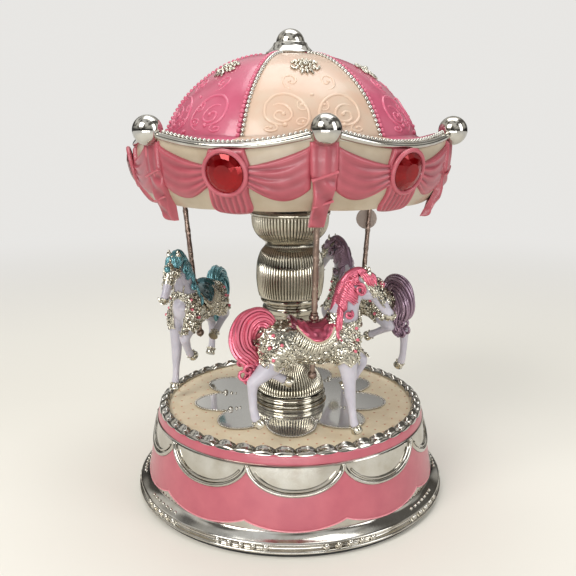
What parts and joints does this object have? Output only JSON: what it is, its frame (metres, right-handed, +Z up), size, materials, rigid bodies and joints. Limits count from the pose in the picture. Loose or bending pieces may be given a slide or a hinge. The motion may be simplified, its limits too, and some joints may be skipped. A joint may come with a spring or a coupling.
{
  "type": "carousel music box",
  "caption": "Wind-up carousel ornament: a turning domed canopy carries horses on poles round a fluted column above a round base that holds a pinned-cylinder movement.",
  "frame": {"origin": "on the turning axis, on the table", "axes": "+Z up along the turning axis; the front is -Y"},
  "size_m": [0.123, 0.128, 0.1761],
  "materials": {
    "felt": "matt black felt",
    "chrome": "polished plating",
    "mirror": "mirror-polished sheet",
    "steel": "satin",
    "brass": "satin",
    "pink": "translucent pink enamel, gloss",
    "cream": "cream enamel, satin",
    "ruby": "faceted ruby-red stone",
    "horse_pink": "lavender-white with metallic pink, gloss",
    "horse_violet": "lavender-white with metallic violet, gloss",
    "horse_teal": "lavender-white with metallic teal, gloss"
  },
  "bodies": {
    "base": {"base_drum": "pink", "base_pad_ring": "felt", "foot_ring": "chrome", "floor_deck": "cream", "floor_ruffle": "chrome", "petal_rosette": "mirror", "bottom_cover": "cream", "cover_screw_1": "steel", "cover_screw_2": "steel", "cover_screw_3": "steel", "column_foot": "chrome", "column_dome": "chrome", "column_stem": "chrome", "column_barrel": "chrome", "column_capital": "chrome", "movement_bedplate": "brass", "cylinder_post_inner": "brass", "cylinder_post_outer": "brass", "comb_block": "brass", "steel_comb": "steel", "comb_screw_1": "steel", "comb_screw_2": "steel", "governor_frame": "brass"},
    "carousel": {"drive_shaft": "steel", "shaft_gear": "brass", "canopy_hub": "cream", "canopy_skirt": "cream", "canopy_rim": "chrome", "canopy_dome": "cream", "finial_collar": "chrome", "finial_ball": "chrome", "corner_ball_1": "chrome", "corner_ball_2": "chrome", "corner_ball_3": "chrome", "corner_ball_4": "chrome", "corner_ball_5": "chrome", "corner_ball_6": "chrome", "jewel_1": "ruby", "jewel_2": "ruby", "jewel_3": "ruby", "jewel_4": "ruby", "jewel_5": "ruby", "jewel_6": "ruby", "pole_1": "chrome", "pole_2": "chrome", "pole_3": "chrome", "horse_1": "horse_pink", "horse_2": "horse_violet", "horse_3": "horse_teal"},
    "barrel": {"spring_barrel": "brass", "mainspring": "steel"},
    "cylinder": {"cylinder_pinion": "steel", "music_cylinder": "brass", "cylinder_gear": "brass"},
    "brake_arbor": {"governor_wheel": "steel"},
    "brake_worm": {"governor_worm": "steel", "governor_fan": "brass"},
    "key": {"winding_arbor": "steel", "winding_key": "brass"}
  },
  "joints": [
    {"name": "canopy_spin", "type": "hinge", "parent": "base", "child": "carousel", "pos_m": [0, 0, 0.1], "axis": [0, 0, 1], "continuous": true},
    {"name": "barrel_spin", "type": "hinge", "parent": "base", "child": "barrel", "pos_m": [-0.017, -0.017, 0.02], "axis": [0, 0, 1], "continuous": true},
    {"name": "cylinder_spin", "type": "hinge", "parent": "base", "child": "cylinder", "pos_m": [-0.017, 0.008, 0.0199], "axis": [0, 1, 0], "continuous": true},
    {"name": "brake_arbor_spin", "type": "hinge", "parent": "base", "child": "brake_arbor", "pos_m": [-0.00953, 0.02299, 0.0199], "axis": [0, 1, 0], "continuous": true},
    {"name": "brake_worm_spin", "type": "hinge", "parent": "base", "child": "brake_worm", "pos_m": [-0.00403, 0.02299, 0.0199], "axis": [0, 0, 1], "continuous": true},
    {"name": "key_wind", "type": "hinge", "parent": "base", "child": "key", "pos_m": [-0.017, -0.017, 0.008], "axis": [0, 0, 1], "range_deg": [0, 2250]}
  ],
  "couplings": [
    {"joint": "barrel_spin", "follows": "canopy_spin", "ratio": -0.66667},
    {"joint": "cylinder_spin", "follows": "canopy_spin", "ratio": 1.5},
    {"joint": "brake_arbor_spin", "follows": "canopy_spin", "ratio": -4.5},
    {"joint": "brake_worm_spin", "follows": "canopy_spin", "ratio": -72}
  ]
}
